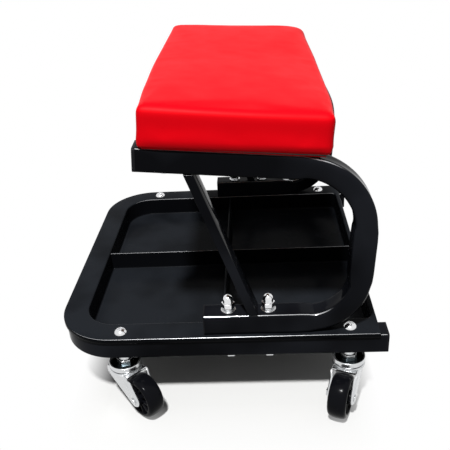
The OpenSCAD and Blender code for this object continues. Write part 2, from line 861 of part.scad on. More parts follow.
module stem_front_left() { color(zinc) at_caster(0) stem_shape(); }
module stem_rear_left() { color(zinc) at_caster(1) stem_shape(); }
module stem_front_right() { color(zinc) at_caster(2) stem_shape(); }
module stem_rear_right() { color(zinc) at_caster(3) stem_shape(); }
module dish_front_left() { color(zinc) at_caster(0) dish_shape(); }
module dish_rear_left() { color(zinc) at_caster(1) dish_shape(); }
module dish_front_right() { color(zinc) at_caster(2) dish_shape(); }
module dish_rear_right() { color(zinc) at_caster(3) dish_shape(); }
module balls_front_left() { color(chrome) at_caster(0) ball_ring(); }
module balls_rear_left() { color(chrome) at_caster(1) ball_ring(); }
module balls_front_right() { color(chrome) at_caster(2) ball_ring(); }
module balls_rear_right() { color(chrome) at_caster(3) ball_ring(); }
module fork_front_left() { color(zinc) at_caster(0) fork_shape(); }
module fork_rear_left() { color(zinc) at_caster(1) fork_shape(); }
module fork_front_right() { color(zinc) at_caster(2) fork_shape(); }
module fork_rear_right() { color(zinc) at_caster(3) fork_shape(); }
module bush_front_left() { color(zinc) at_caster(0) bush_shape(); }
module bush_rear_left() { color(zinc) at_caster(1) bush_shape(); }
module bush_front_right() { color(zinc) at_caster(2) bush_shape(); }
module bush_rear_right() { color(zinc) at_caster(3) bush_shape(); }
module axle_front_left() { color(zinc) at_caster(0) axle_shape(); }
module axle_rear_left() { color(zinc) at_caster(1) axle_shape(); }
module axle_front_right() { color(zinc) at_caster(2) axle_shape(); }
module axle_rear_right() { color(zinc) at_caster(3) axle_shape(); }
module axle_nut_front_left() { color(zinc) at_caster(0) axle_nut_shape(); }
module axle_nut_rear_left() { color(zinc) at_caster(1) axle_nut_shape(); }
module axle_nut_front_right() { color(zinc) at_caster(2) axle_nut_shape(); }
module axle_nut_rear_right() { color(zinc) at_caster(3) axle_nut_shape(); }
module wheel_front_left() { color(tread_black) at_caster(0) wheel_shape(); }
module wheel_rear_left() { color(tread_black) at_caster(1) wheel_shape(); }
module wheel_front_right() { color(tread_black) at_caster(2) wheel_shape(); }
module wheel_rear_right() { color(tread_black) at_caster(3) wheel_shape(); }

seat_cushion();
seat_board();
cover_hem();
hem_staples();
seat_screws();
side_frame_left();
side_frame_right();
strut_left();
strut_right();
top_plug_left();
top_plug_right();
foot_plug_left();
foot_plug_right();
rail_plug_left();
rail_plug_right();
base_frame();
tool_tray();
frame_bolts();
lower_washers();
upper_washers();
spring_washers();
acorn_nuts();
caster_screws();
stem_front_left();
stem_rear_left();
stem_front_right();
stem_rear_right();
dish_front_left();
dish_rear_left();
dish_front_right();
dish_rear_right();
balls_front_left();
balls_rear_left();
balls_front_right();
balls_rear_right();
fork_front_left();
fork_rear_left();
fork_front_right();
fork_rear_right();
bush_front_left();
bush_rear_left();
bush_front_right();
bush_rear_right();
axle_front_left();
axle_rear_left();
axle_front_right();
axle_rear_right();
axle_nut_front_left();
axle_nut_rear_left();
axle_nut_front_right();
axle_nut_rear_right();
wheel_front_left();
wheel_rear_left();
wheel_front_right();
wheel_rear_right();
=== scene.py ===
import json
import math

import bmesh
import bpy
from mathutils import Matrix, Vector

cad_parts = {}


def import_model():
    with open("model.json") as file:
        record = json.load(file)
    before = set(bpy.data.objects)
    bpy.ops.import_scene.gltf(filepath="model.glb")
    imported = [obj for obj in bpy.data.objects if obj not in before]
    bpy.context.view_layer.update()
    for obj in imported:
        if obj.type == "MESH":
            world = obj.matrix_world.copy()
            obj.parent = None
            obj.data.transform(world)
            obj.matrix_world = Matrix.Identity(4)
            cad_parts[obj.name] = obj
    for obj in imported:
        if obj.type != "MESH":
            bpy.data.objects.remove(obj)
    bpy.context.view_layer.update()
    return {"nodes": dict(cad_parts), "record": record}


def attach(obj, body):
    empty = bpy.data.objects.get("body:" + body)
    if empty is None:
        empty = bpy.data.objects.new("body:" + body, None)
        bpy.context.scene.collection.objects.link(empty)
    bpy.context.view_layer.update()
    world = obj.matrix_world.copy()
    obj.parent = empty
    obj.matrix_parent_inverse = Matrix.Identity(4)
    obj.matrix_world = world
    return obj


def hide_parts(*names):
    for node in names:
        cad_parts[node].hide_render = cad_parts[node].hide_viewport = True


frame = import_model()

MM = 0.001
CORNERS = ("front_left", "rear_left", "front_right", "rear_right")


# Material nodes, with lengths in metres
def principled(name):
    """A new material: itself, its nodes, its shader and a coordinate socket in metres."""
    mat = bpy.data.materials.new(name)
    mat.use_nodes = True
    tree = mat.node_tree
    coord = tree.nodes.new("ShaderNodeTexCoord")
    return mat, tree, tree.nodes["Principled BSDF"], coord.outputs["Object"]


def noise(tree, where, scale, detail, rough=0.5):
    """Noise with about that many waves to a metre."""
    node = tree.nodes.new("ShaderNodeTexNoise")
    node.inputs["Scale"].default_value = scale
    node.inputs["Detail"].default_value = detail
    node.inputs["Roughness"].default_value = rough
    tree.links.new(where, node.inputs["Vector"])
    return node.outputs["Fac"]


def remap(tree, value, lo, hi, from_lo=0.3, from_hi=0.7):
    """A value turned into one from lo to hi. The range from 0.3 to 0.7 is where noise mostly lies."""
    node = tree.nodes.new("ShaderNodeMapRange")
    for key, number in (("From Min", from_lo), ("From Max", from_hi), ("To Min", lo), ("To Max", hi)):
        node.inputs[key].default_value = number
    tree.links.new(value, node.inputs["Value"])
    return node.outputs["Result"]


def calculate(tree, operation, one, two=None):
    """A Math node fed by one or two sockets."""
    node = tree.nodes.new("ShaderNodeMath")
    node.operation = operation
    tree.links.new(one, node.inputs[0])
    if two is not None:
        tree.links.new(two, node.inputs[1])
    return node.outputs[0]


def times(tree, one, two):
    """The product of two sockets."""
    return calculate(tree, "MULTIPLY", one, two)


def vector_math(tree, operation, vector, constant=None):
    """A Vector Math node fed by a socket and, where it needs one, a constant."""
    node = tree.nodes.new("ShaderNodeVectorMath")
    node.operation = operation
    tree.links.new(vector, node.inputs[0])
    if constant is not None:
        node.inputs[1].default_value = constant
    return node.outputs["Value" if operation == "LENGTH" else "Vector"]


def blend_colours(tree, fac, one, two):
    """From one, a colour or a socket, to the colour two."""
    node = tree.nodes.new("ShaderNodeMix")
    node.data_type = "RGBA"
    node.inputs["B"].default_value = (*two, 1)
    tree.links.new(fac, node.inputs["Factor"])
    if isinstance(one, tuple):
        node.inputs["A"].default_value = (*one, 1)
    else:
        tree.links.new(one, node.inputs["A"])
    return node.outputs["Result"]


def bump(tree, height, distance, strength, normal=None):
    """Normals for a height from 0 to distance, in metres, laid over other normals where given."""
    node = tree.nodes.new("ShaderNodeBump")
    node.inputs["Distance"].default_value = distance
    node.inputs["Strength"].default_value = strength
    tree.links.new(height, node.inputs["Height"])
    if normal is not None:
        tree.links.new(normal, node.inputs["Normal"])
    return node.outputs["Normal"]


def stretched(tree, where, x, y, z):
    """Coordinates scaled along each axis."""
    node = tree.nodes.new("ShaderNodeMapping")
    node.inputs["Scale"].default_value = (x, y, z)
    tree.links.new(where, node.inputs["Vector"])
    return node.outputs["Vector"]


def axes(tree, vector):
    """The X, Y and Z sockets of a vector."""
    node = tree.nodes.new("ShaderNodeSeparateXYZ")
    tree.links.new(vector, node.inputs[0])
    return node.outputs


def normal_axes(tree):
    """The X, Y and Z sockets of the surface's normal."""
    return axes(tree, tree.nodes.new("ShaderNodeNewGeometry").outputs["Normal"])


def facing_up(tree, lo, hi):
    """0 on faces whose normal rises less than lo, 1 on those that face up more than hi."""
    return remap(tree, normal_axes(tree)["Z"], 0, 1, lo, hi)


def seen_rays(tree):
    """1 for rays from the camera, from reflections and through glass, 0 for the others."""
    path = tree.nodes.new("ShaderNodeLightPath")
    seen = calculate(tree, "MAXIMUM", path.outputs["Is Camera Ray"], path.outputs["Is Glossy Ray"])
    return calculate(tree, "MAXIMUM", seen, path.outputs["Is Transmission Ray"])


def mix_shaders(tree, fac, one, two, output):
    """Joins two shader nodes by a factor and leads them to an output node."""
    mix = tree.nodes.new("ShaderNodeMixShader")
    tree.links.new(fac, mix.inputs["Fac"])
    tree.links.new(one.outputs[0], mix.inputs[1])
    tree.links.new(two.outputs[0], mix.inputs[2])
    tree.links.new(mix.outputs[0], tree.nodes[output].inputs["Surface"])


# Materials: heights in metres between which the painted edge highlight and the painted shade in the
# caster dishes lie
EDGE_HIGHLIGHT_COLOUR = (0.85, 0.86, 0.88)
EDGE_HIGHLIGHT_FROM, EDGE_HIGHLIGHT_FULL = 0.088, 0.093
DISH_SHADE_FULL, DISH_SHADE_END = 0.0585, 0.0615
DISH_SHADE_START, DISH_SHADE_WHOLE = 0.0560, 0.0572


def painted_edge_highlights(tree, shader, where, colour, strength):
    """Painted highlight on the upper edges along either side: a narrow bright metallic band where the top
    rounds into the side, standing in for the lamp's reflection.
    """
    normal = normal_axes(tree)
    aside = calculate(tree, "ABSOLUTE", normal["Y"])
    height = axes(tree, where)["Z"]
    highlight_band = remap(tree, normal["Z"], 0.0, strength, 0.69, 0.78)
    for value, lo, hi, from_lo, from_hi in ((height, 0.0, 1.0, EDGE_HIGHLIGHT_FROM, EDGE_HIGHLIGHT_FULL),
                                            (aside, 0.0, 1.0, 0.44, 0.54),
                                            (aside, 1.0, 0.0, 0.66, 0.76)):
        highlight_band = times(tree, highlight_band, remap(tree, value, lo, hi, from_lo, from_hi))
    tree.links.new(highlight_band, shader.inputs["Metallic"])
    tree.links.new(blend_colours(tree, highlight_band, colour, EDGE_HIGHLIGHT_COLOUR), shader.inputs["Base Color"])


def enamel():
    """Gloss black paint on the tubes, with a faint orange peel and a painted highlight along their upper
    edges.
    """
    mat, tree, shader, where = principled("black_enamel")
    broad = remap(tree, noise(tree, where, 9, 2), 0, 1, 0.42, 0.64)
    paint = blend_colours(tree, broad, (0.0024, 0.0026, 0.0035), (0.0100, 0.0110, 0.0140))
    # Painted highlight along the upper edges, standing in for the lamp's reflection.
    painted_edge_highlights(tree, shader, where, paint, 0.6)
    tree.links.new(remap(tree, noise(tree, where, 60, 4), 0.07, 0.12), shader.inputs["Roughness"])
    tree.links.new(bump(tree, noise(tree, where, 420, 2), 0.00012, 0.35), shader.inputs["Normal"])
    shader.inputs["Specular IOR Level"].default_value = 0.022
    return mat


def moulded(name, dark, light, rough, grain, depth, level=0.04, edge_highlight=0.0, dust=None):
    """Black moulded plastic with a fine grain, a film of dust on what faces up and a painted highlight
    along its upper edges.
    """
    mat, tree, shader, where = principled(name)
    colour = blend_colours(tree, noise(tree, where, 14, 3), dark, light)
    if dust is not None:
        cloudy = remap(tree, noise(tree, where, 13, 2), 0.5, 1.1, 0.38, 0.62)
        colour = blend_colours(tree, times(tree, facing_up(tree, 0.5, 0.9), cloudy), colour, dust)
    # Painted highlight along the upper edges, where a strength is given.
    if edge_highlight:
        painted_edge_highlights(tree, shader, where, colour, edge_highlight)
    else:
        tree.links.new(colour, shader.inputs["Base Color"])
    tree.links.new(remap(tree, noise(tree, where, 35, 5), *rough), shader.inputs["Roughness"])
    tree.links.new(bump(tree, noise(tree, where, grain, 3), depth, 0.5), shader.inputs["Normal"])
    shader.inputs["Specular IOR Level"].default_value = level
    return mat


def metal(name, dark, light, rough, depth=0.00003, dish_shade=None):
    """Plated steel with slight colour changes and fine scratches, and painted shade on what is low and
    faces up inside the caster dishes.
    """
    mat, tree, shader, where = principled(name)
    shader.inputs["Metallic"].default_value = 1.0
    colour = blend_colours(tree, noise(tree, where, 90, 4), dark, light)
    # Painted shade: faces that face up low in the caster dishes are darkened.
    if dish_shade is not None:
        height = axes(tree, where)["Z"]
        low = times(tree, remap(tree, height, 1, 0, DISH_SHADE_FULL, DISH_SHADE_END), facing_up(tree, 0.3, 0.7))
        low = times(tree, low, remap(tree, height, 0, 1, DISH_SHADE_START, DISH_SHADE_WHOLE))
        colour = blend_colours(tree, low, colour, dish_shade)
    tree.links.new(colour, shader.inputs["Base Color"])
    tree.links.new(remap(tree, noise(tree, where, 220, 6, 0.65), *rough), shader.inputs["Roughness"])
    tree.links.new(bump(tree, noise(tree, where, 660, 4), depth, 0.6), shader.inputs["Normal"])
    return mat


def vinyl():
    """Red satin vinyl, painted brighter on top and darker on its sides as painted light and shade, with a
    fine leather grain over soft unevenness.
    """
    mat, tree, shader, where = principled("red_vinyl")
    # Painted shade: the sides get a darker red, and the top a brighter red as painted light.
    shaded_sides = blend_colours(tree, noise(tree, where, 9, 3), (0.55, 0.0003, 0.0035), (0.58, 0.0006, 0.0050))
    painted_light_red = blend_colours(tree, facing_up(tree, 0.25, 0.8), shaded_sides, (0.86, 0.0012, 0.0070))
    tree.links.new(painted_light_red, shader.inputs["Base Color"])
    tree.links.new(remap(tree, noise(tree, where, 40, 5), 0.44, 0.52), shader.inputs["Roughness"])
    cells = tree.nodes.new("ShaderNodeTexVoronoi")
    cells.feature = "SMOOTH_F1"
    cells.inputs["Scale"].default_value = 900
    tree.links.new(where, cells.inputs["Vector"])
    soft = bump(tree, noise(tree, where, 30, 2), 0.0003, 0.06)
    tree.links.new(bump(tree, cells.outputs["Distance"], 0.00012, 0.25, soft), shader.inputs["Normal"])
    shader.inputs["Specular IOR Level"].default_value = 0.045
    return mat


def plywood():
    """Raw plywood under the seat: long grain with darker early wood, and its upright edges darkened as
    painted shade.
    """
    mat, tree, shader, where = principled("plywood")
    grain = stretched(tree, where, 14, 1.2, 14)
    bands = noise(tree, grain, 16, 6, 0.6)
    wood = blend_colours(tree, remap(tree, bands, 0, 1), (0.42, 0.26, 0.12), (0.62, 0.44, 0.24))
    level = calculate(tree, "ABSOLUTE", normal_axes(tree)["Z"])
    # Painted shade: the upright edges are darkened, standing in for the shadow gap under the cushion.
    edge = remap(tree, level, 1, 0, 0.4, 0.7)
    tree.links.new(blend_colours(tree, edge, wood, (0.012, 0.008, 0.006)), shader.inputs["Base Color"])
    tree.links.new(remap(tree, bands, 0.6, 0.8), shader.inputs["Roughness"])
    tree.links.new(bump(tree, noise(tree, grain, 60, 5), 0.0003, 0.5), shader.inputs["Normal"])
    return mat


MATERIALS = {
    "vinyl": vinyl(),
    "plywood": plywood(),
    "black_enamel": enamel(),
    "plug_plastic": moulded("plug_plastic", (0.006, 0.006, 0.007), (0.012, 0.012, 0.014),
                            (0.34, 0.48), 1500, 0.00006),
    # The tray gets a painted highlight along its upper edges as well as dust on what faces up.
    "tray_plastic": moulded("tray_plastic", (0.0020, 0.0022, 0.0028), (0.0034, 0.0038, 0.0048),
                            (0.20, 0.30), 900, 0.00008, 0.012, 0.42, (0.0130, 0.0150, 0.0185)),
    # Zinc, with painted shade inside its caster dishes.
    "zinc": metal("zinc", (0.60, 0.61, 0.62), (0.68, 0.69, 0.70), (0.20, 0.28), 0.00001,
                  (0.035, 0.045, 0.050)),
    "bright_plate": metal("bright_plate", (0.70, 0.71, 0.72), (0.82, 0.82, 0.83), (0.10, 0.22)),
    "ball_steel": metal("ball_steel", (0.70, 0.70, 0.71), (0.80, 0.80, 0.81), (0.10, 0.18)),
    "wheel_plastic": moulded("wheel_plastic", (0.0026, 0.0028, 0.0038), (0.0050, 0.0052, 0.0070),
                             (0.12, 0.20), 700, 0.00006),
}
SLOT_OF = {part["node"]: part["material_slot"] for part in frame["record"]["subparts"]}
for node_name, node_object in frame["nodes"].items():
    if not node_object.material_slots:
        node_object.data.materials.append(None)
    for place in node_object.material_slots:
        place.material = MATERIALS[SLOT_OF[node_name]]


# Building blocks
def link(name, data):
    """A new object with the given mesh, lamp or camera, in the scene."""
    piece = bpy.data.objects.new(name, data)
    bpy.context.collection.objects.link(piece)
    return piece


def finish_mesh(piece, sharp):
    """Smooth shading that keeps the edges over the given angle, in degrees."""
    piece.data.validate()
    piece.data.shade_smooth()
    piece.data.set_sharp_from_angle(angle=math.radians(sharp))


def dress(piece, slot, body, *nodes):
    """Gives a piece the material of its slot and its body, and hides the CAD nodes it stands for."""
    piece.data.materials.clear()
    piece.data.materials.append(MATERIALS[slot])
    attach(piece, body)
    if nodes:
        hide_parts(*nodes)
    return piece


def settle(piece):
    """Applies the modifiers of a piece."""
    graph = bpy.context.evaluated_depsgraph_get()
    mesh = bpy.data.meshes.new_from_object(piece.evaluated_get(graph))
    piece.modifiers.clear()
    old = piece.data
    piece.data = mesh
    bpy.data.meshes.remove(old)


def rings_mesh(name, rings, capped=True):
    """A skin over closed rings of as many points each, given in millimetres."""
    count = len(rings[0])
    verts = [tuple(c * MM for c in point) for ring in rings for point in ring]
    faces = []
    for one in range(0, (len(rings) - 1) * count, count):
        for j in range(count):
            k = (j + 1) % count
            faces.append((one + j, one + k, one + count + k, one + count + j))
    if capped:
        faces.append(tuple(reversed(range(count))))
        faces.append(tuple(range((len(rings) - 1) * count, len(rings) * count)))
    mesh = bpy.data.meshes.new(name)
    mesh.from_pydata(verts, [], faces)
    bm = bmesh.new()
    bm.from_mesh(mesh)
    bmesh.ops.remove_doubles(bm, verts=bm.verts, dist=2e-6)
    bmesh.ops.recalc_face_normals(bm, faces=bm.faces)
    bm.to_mesh(mesh)
    bm.free()
    return link(name, mesh)


def bevel(bm, angle, width, segments):
    """Rounds off the edges that turn by more than the angle, in degrees, by a width in millimetres."""
    edges = [e for e in bm.edges if e.is_manifold and e.calc_face_angle(0) > math.radians(angle)]
    bmesh.ops.bevel(bm, geom=edges, offset=width * MM, segments=segments, profile=0.5,
                    affect="EDGES", clamp_overlap=True)


def join(piece, *others):
    """Takes the other pieces' meshes into a piece's own."""
    bm = bmesh.new()
    for part in (piece, *others):
        bm.from_mesh(part.data)
    bm.to_mesh(piece.data)
    bm.free()
    for part in others:
        bpy.data.objects.remove(part)


def eased(node, width, body, angle=30.0, segments=2):
    """A CAD node's shape with its sharp edges rounded off, in the node's place."""
    bm = bmesh.new()
    bm.from_mesh(frame["nodes"][node].data)
    bmesh.ops.remove_doubles(bm, verts=bm.verts, dist=1e-6)
    bmesh.ops.dissolve_limit(bm, angle_limit=math.radians(0.5), verts=bm.verts, edges=bm.edges)
    bevel(bm, angle, width, segments)
    mesh = bpy.data.meshes.new(node + "_eased")
    bm.to_mesh(mesh)
    bm.free()
    piece = link(mesh.name, mesh)
    finish_mesh(piece, 32)
    return dress(piece, SLOT_OF[node], body, node)


def ease(t):
    """Runs smoothly from 0 to 1 as t does."""
    t = min(1.0, max(0.0, t))
    return t * t * (3 - 2 * t)


def arc(cx, cy, r, start, end, count):
    """Points on an arc, its angles in degrees."""
    steps = (math.radians(start + (end - start) * k / count) for k in range(count + 1))
    return [(cx + r * math.cos(a), cy + r * math.sin(a)) for a in steps]


# Sizes of the frames and the tray, in millimetres
TUBE, TUBE_R = 25.4, 3.0
CASTER_H, RIM_T, RIM_OVER, LIP_T, LIP_DROP = 73.0, 3.6, 2.2, 1.9, 6.0
BASE_L, BASE_W, BEND_R = 382.0, 390.0, 53.3
RAIL_TOP = CASTER_H + TUBE
RIM_TOP = RAIL_TOP + RIM_T
RECESS, TRAY_WALL, TRAY_FLOOR, DIVIDER_T, CROSS_X = 26.0, 2.4, 2.4, 3.2, 5.0
TRAY_REAR, TUB_INSET = BASE_L / 2 - 9.7, TUBE + 0.8
TUB_REAR = TRAY_REAR - 6.0 + TRAY_WALL
INNER, INNER_REAR = TUB_INSET + TRAY_WALL, TUB_REAR - TRAY_WALL
FLOOR_Z = RIM_TOP - RECESS
FRONT = -BASE_L / 2 + RIM_OVER
TILT = math.radians(5.4)
LEAN = math.radians(2.8)
SIDE_Y = BASE_W / 2 - 2 - TUBE / 2

# Side frames: the centreline's straights and bends, then how bent tube draws in
PLUG_LIP = 1.5
FOOT_X = -15.4 + PLUG_LIP
FOOT_RUN, LOW_BEND, BACK_RUN, TOP_BEND, TOP_RUN = 117.7 - PLUG_LIP, 54.7, 58.9, 71.8, 162.5
LINE_STEP, BEND_STEP = 9, 3
PULL_LEAD, PULL_EASE, PULL_INNER, PULL_OUTER = 5, 14, 1.2, 0.8
DENT, DENT_HALF, CORNER_LOSS, BULGE = 0.9, 9.7, 0.12, 0.5


def side_path():
    """Stations along a side frame's centreline: X, Z, heading and how far the bend draws it in."""
    legs = [(FOOT_RUN, 0.0), (LOW_BEND, math.pi / 2 - LEAN), (BACK_RUN, 0.0),
            (TOP_BEND, math.pi / 2 - TILT + LEAN), (TOP_RUN, 0.0)]
    x, z, heading, run = FOOT_X, RIM_TOP + TUBE / 2, 0.0, 0.0
    spans, stations = [], [(x, z, heading, run)]
    for size, turn in legs:
        if turn == 0:
            count = max(2, int(size / LINE_STEP))
            for _ in range(count):
                x += size / count * math.cos(heading)
                z += size / count * math.sin(heading)
                run += size / count
                stations.append((x, z, heading, run))
        else:
            start, count = run, int(math.degrees(turn) / BEND_STEP)
            cx, cz = x - size * math.sin(heading), z + size * math.cos(heading)
            for _ in range(count):
                heading += turn / count
                run += size * turn / count
                x, z = cx + size * math.sin(heading), cz - size * math.cos(heading)
                stations.append((x, z, heading, run))
            spans.append((start, run))
    out = []
    for x, z, heading, run in stations:
        pulls = [ease((run - start + PULL_LEAD) / PULL_EASE) * ease((end + PULL_LEAD - run) / PULL_EASE)
                 for start, end in spans]
        out.append((x, z, heading, max(pulls)))
    return out


def tube_section():
    """Points round a square tube's section, with rounded corners and points along its faces."""
    half, flat = TUBE / 2, TUBE / 2 - TUBE_R
    quarter = [(half, flat * t) for t in (-1, -0.72, -0.36, 0, 0.36, 0.72, 1)]
    quarter += arc(flat, flat, TUBE_R, 0, 90, 4)[1:-1]
    points = []
    for q in range(4):
        c, s = math.cos(math.pi / 2 * q), math.sin(math.pi / 2 * q)
        points += [(px * c - py * s, px * s + py * c) for px, py in quarter]
    return points


def side_tube(name, y, node):
    """A bent tube, drawn in at its bends, with dented inner and outer faces and bulged sides."""
    rings = []
    for x, z, heading, pull in side_path():
        nx, nz = -math.sin(heading), math.cos(heading)
        ring = []
        for a, b in tube_section():
            on_face = abs(abs(a) - TUBE / 2) < 0.01
            dent = DENT * pull * max(0.0, 1 - (b / DENT_HALF) ** 2) if on_face else 0.0
            rounder = 1 - CORNER_LOSS * pull * (4 * a * b / TUBE ** 2) ** 4
            reach = a * (1 - (PULL_INNER if a > 0 else PULL_OUTER) / (TUBE / 2) * pull) * rounder
            reach -= math.copysign(dent, a)
            bulge = BULGE * pull * (1 - (2 * a / TUBE) ** 2) * b / (TUBE / 2)
            ring.append((x + nx * reach, y + b * rounder + bulge, z + nz * reach))
        rings.append(ring)
    piece = rings_mesh(name, rings)
    finish_mesh(piece, 50)
    dress(piece, "black_enamel", "stool_frame", node)


for side, sign in (("left", -1), ("right", 1)):
    side_tube("bent_tube_" + side, sign * SIDE_Y, "side_frame_" + side)


# Tool tray: radii of its folds and of its rear corners in plan, and the slope of its walls
RIM_R, RECESS_TOP_R, RECESS_FOOT_R, TUB_FOOT_R = 1.7, 2.4, 3.5, 3
TUB_CORNER, RECESS_CORNER = 8, 7
DRAFT = 0.8


def tray_ring(inset, rear, z, rear_r, rear_z=None):
    """A ring at one inset from the base's outline. Its rear edge may have a height of its own."""
    outer = BEND_R + TUBE / 2
    half = BASE_W / 2 - inset
    cx, cy = FRONT + outer, BASE_W / 2 - outer
    ring = [(x, y, z) for x, y in arc(cx, cy, max(outer - inset, 1.0), 180, 90, 16)]
    ring += [(cx + (rear - rear_r - cx) * k / 12, half, z) for k in range(1, 12)]
    for k, (x, y) in enumerate(arc(rear - rear_r, half - rear_r, rear_r, 90, 0, 8)):
        ring.append((x, y, z if rear_z is None or k < 4 else rear_z))
    return ring + [(x, -y, h) for x, y, h in reversed(ring)]


def outside_rings():
    """From under the tub up its outside, along the rail's top, round the lip and onto the rim."""
    rings = []
    for a in (0, 30, 60, 90):
        out = DRAFT + TUB_FOOT_R * (1 - math.sin(math.radians(a)))
        rings.append(tray_ring(TUB_INSET + out, TUB_REAR - out, FLOOR_Z - TRAY_FLOOR
                               + TUB_FOOT_R * (1 - math.cos(math.radians(a))), TUB_CORNER))
    rings.append(tray_ring(TUB_INSET + 0.2, TUB_REAR - 0.2, RAIL_TOP - 0.6, TUB_CORNER))
    rings.append(tray_ring(TUB_INSET - 0.5, TUB_REAR + 0.5, RAIL_TOP, TUB_CORNER))
    low = RIM_TOP - LIP_DROP
    lip = ((LIP_T, 1.2, RAIL_TOP, 0.6, 0.0), (LIP_T, 0.9, low + 0.3, 0.6, 0.0),
           (LIP_T - 0.3, 0.6, low, 0.6, 0.0), (0.5, 0.3, low, 0.8, 0.02),
           (0.0, 0.0, low + 0.5, 1.0, 0.4))
    for inset, ahead, z, corner_r, above in lip:
        rings.append(tray_ring(inset - RIM_OVER, TRAY_REAR - ahead, z, corner_r, RAIL_TOP + above))
    for out, up in arc(RIM_R, RIM_TOP - RIM_R, -RIM_R, 0, -90, 5):
        rings.append(tray_ring(out - RIM_OVER, TRAY_REAR - out, up, 1.2))
    rings.append(tray_ring(6 - RIM_OVER, TRAY_REAR - 3.0, RIM_TOP, 2))
    return rings


def inside_rings():
    """From the rim down into the recess and onto its floor."""
    foot = RECESS_FOOT_R
    profile = arc(INNER - RECESS_TOP_R, RIM_TOP - RECESS_TOP_R, RECESS_TOP_R, 90, 0, 5)
    profile += arc(INNER + DRAFT + foot, FLOOR_Z + foot, -foot, 0, 90, 5)
    return [tray_ring(inset, INNER_REAR + INNER - inset, z, RECESS_CORNER) for inset, z in profile]


def divider(name, along_x, lo, hi, middle, top):
    """A wall across the recess, with fillets along its foot and a rounded top."""
    t, foot, fillet = DIVIDER_T / 2, DIVIDER_T / 2 + 0.7, 2.2
    half = [(foot + fillet, FLOOR_Z - 0.1), (foot + 0.7 * fillet, FLOOR_Z + 0.05 * fillet),
            (foot + 0.3 * fillet, FLOOR_Z + 0.3 * fillet), (foot, FLOOR_Z + fillet),
            (t + 0.02, top - 1.4), (t - 0.18, top - 0.7), (t - 0.7, top - 0.18), (t - 1.4, top)]
    outline = half + [(-w, h) for w, h in reversed(half)]
    strips = []
    for k in range(13):
        s = lo + (hi - lo) * k / 12
        strips.append([(s, middle + w, h) if along_x else (middle + w, s, h) for w, h in outline])
    return rings_mesh(name, strips)


def moulded_tray():
    """The tray's skin from under its tub over the rim to the floor of its recess, and two dividers."""
    piece = rings_mesh("moulded_tray", outside_rings() + inside_rings())
    top, into = RIM_TOP - 2.0, 1.6
    half = BASE_W / 2 - INNER + into
    join(piece, divider("tray_long_wall", True, FRONT + INNER - into, INNER_REAR + into, 0.0, top),
         divider("tray_cross_wall", False, -half, half, CROSS_X, top - 0.03))
    finish_mesh(piece, 50)
    dress(piece, "tray_plastic", "stool_frame", "tool_tray")


moulded_tray()


# Seat cover, in the seat's own frame: u to the rear, y to the right and w up from the top tubes
SEAT_U, SEAT_L, SEAT_W, SEAT_FOOT, SEAT_TOP = 1.0, 188.0, BASE_W + 6.0, 0.6, 42.0
TUBE_END_X, TUBE_END_Z = side_path()[-1][:2]
SEAT_CORNERS = ((1, 1), (-1, 1), (-1, -1), (1, -1))
POCKET_INSET, POCKET_TOP = 5.3, 13.3
VOXEL, PRESSURE, CLOTH_FRAMES, CLOTH_REACH = 0.0046, 4.0, 20, 0.0014
REAR_OUT, REAR_OUT_MIDDLE, REAR_IN_FAR, FRONT_OUT, FRONT_OUT_LOSS = 2.2, 3.6, 2.2, 4.0, 3.6
STUFFED_FRONT, STUFFED_REAR = 0.8, 9.2
TUCK_REAR, TUCK_END = 3.0, 0.5
LIFT_INNER, LIFT_OUTER, LIFT_REAR = 2.4, 1.8, 1.6


def seat_place(u, y, w):
    """From the seat's own frame to the stool's."""
    s, c = math.sin(TILT), math.cos(TILT)
    return (TUBE_END_X + TUBE / 2 * s + u * c + w * s, y, TUBE_END_Z + TUBE / 2 * c - u * s + w * c)


def seat_ring(inset, w, corner=5, shrink=1.0):
    """A level ring round the seat, with rounded corners."""
    r = max(corner - inset, 2.0)
    a, b = SEAT_L / 2 - inset - r, SEAT_W / 2 - inset - r
    ring = []
    for q, (sx, sy) in enumerate(SEAT_CORNERS):
        ring += [(shrink * px + SEAT_U + SEAT_L / 2, shrink * py, w)
                 for px, py in arc(sx * a, sy * b, r, 90 * q, 90 * q + 90, 6)]
    return ring


def seat_form():
    """The cushion's form before the cloth is blown up: slightly smaller than the finished one."""
    side, fold = 1.2, 3
    rings = [seat_ring(inset, SEAT_FOOT + up) for inset, up in ((2.6, 0), (1.6, 1), (side, 3))]
    rings += [seat_ring(side, w) for w in (14, 28)]
    rings += [seat_ring(inset, w) for inset, w in arc(side + fold, SEAT_TOP - 4, -fold, 0, -90, 4)]
    for k in range(1, 6):
        v = k / 6
        rings.append(seat_ring(side + fold, SEAT_TOP - 1 + 2.5 * (1 - (1 - v) ** 2), 6, 1 - v))
    return rings


def stretch_to(piece, low, high):
    """Fits a mesh that is still in the seat's frame to the given corners."""
    now = [[f(v.co[i] for v in piece.data.vertices) for i in range(3)] for f in (min, max)]
    for v in piece.data.vertices:
        for i in range(3):
            t = (v.co[i] - now[0][i]) / (now[1][i] - now[0][i])
            v.co[i] = low[i] + t * (high[i] - low[i])


